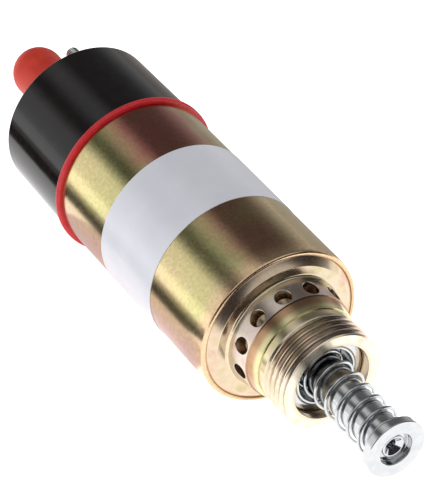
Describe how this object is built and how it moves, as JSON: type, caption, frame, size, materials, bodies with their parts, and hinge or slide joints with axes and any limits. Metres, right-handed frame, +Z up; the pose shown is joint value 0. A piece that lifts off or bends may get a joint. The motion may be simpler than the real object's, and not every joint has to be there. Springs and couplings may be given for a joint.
{
  "type": "fuel shutoff solenoid",
  "caption": "Pull-type fuel shutoff solenoid with a screw-in threaded nose, a sprung plunger with a round button, a plated can and a moulded cap with stud terminals.",
  "frame": {"origin": "on the axis, at the root of the mounting thread where it meets the collar of the nose", "axes": "+X along the axis, out of the nose towards the plunger button; +Z up; the terminals lie at -X"},
  "size_m": [0.1864, 0.0507, 0.0506],
  "materials": {
    "yellow_zinc_nose": "turned steel, yellow zinc plated",
    "yellow_zinc_can": "drawn steel, yellow zinc plated",
    "bright_zinc": "bright zinc plated steel",
    "bare_steel": "machined steel",
    "black_moulding": "glossy black moulding",
    "bobbin_moulding": "natural nylon",
    "seal_rubber": "red rubber, satin",
    "boot_rubber": "red rubber, satin",
    "label_film": "silver white label film",
    "copper_wire": "enamelled copper",
    "brass_tube": "drawn brass",
    "coil_tape": "glass cloth tape",
    "fibre": "vulcanised fibre"
  },
  "bodies": {
    "housing": {"mounting_nose": "yellow_zinc_nose", "shaft_bush": "brass_tube", "spring_seat_washer": "bright_zinc", "seat_retaining_ring": "bare_steel", "housing_tube": "yellow_zinc_can", "rating_label": "label_film", "guide_tube": "brass_tube", "coil_cushion": "fibre", "coil_bobbin": "bobbin_moulding", "pull_winding": "copper_wire", "hold_winding": "copper_wire", "coil_wrap": "coil_tape", "pull_coil_lead": "copper_wire", "hold_coil_lead": "copper_wire", "common_lead": "copper_wire", "rear_pole_plate": "bare_steel", "fixed_core": "bare_steel", "switch_base": "black_moulding", "supply_contact": "copper_wire", "coil_contact": "copper_wire", "ground_strip": "copper_wire", "switch_bracket": "bright_zinc", "contact_spring": "bright_zinc", "cap_seal": "seal_rubber", "terminal_cap": "black_moulding", "return_spring": "bright_zinc", "positive_stud": "bright_zinc", "positive_flat_washer": "bright_zinc", "positive_lock_washer": "bright_zinc", "positive_nut": "bright_zinc", "negative_stud": "bright_zinc", "negative_flat_washer": "bright_zinc", "negative_lock_washer": "bright_zinc", "negative_nut": "bright_zinc"},
    "plunger": {"plunger_core": "bare_steel", "plunger_shaft": "bright_zinc", "plunger_button": "bright_zinc"},
    "contact_carrier": {"contact_bridge": "copper_wire", "contact_push_rod": "bobbin_moulding"},
    "boot": {"terminal_boot": "boot_rubber"}
  },
  "joints": [
    {"name": "plunger_slide", "type": "slide", "parent": "housing", "child": "plunger", "axis": [-1, 0, 0], "range_m": [0, 0.014], "stiffness_N_per_m": 1200, "springref_m": -0.015, "deforming": ["return_spring"]},
    {"name": "contact_slide", "type": "slide", "parent": "housing", "child": "contact_carrier", "axis": [-1, 0, 0], "range_m": [0, 0.0012], "stiffness_N_per_m": 800, "springref_m": -0.004, "deforming": ["contact_spring"]},
    {"name": "boot_pull", "type": "slide", "parent": "housing", "child": "boot", "axis": [-1, 0, 0], "range_m": [0, 0.024]}
  ]
}
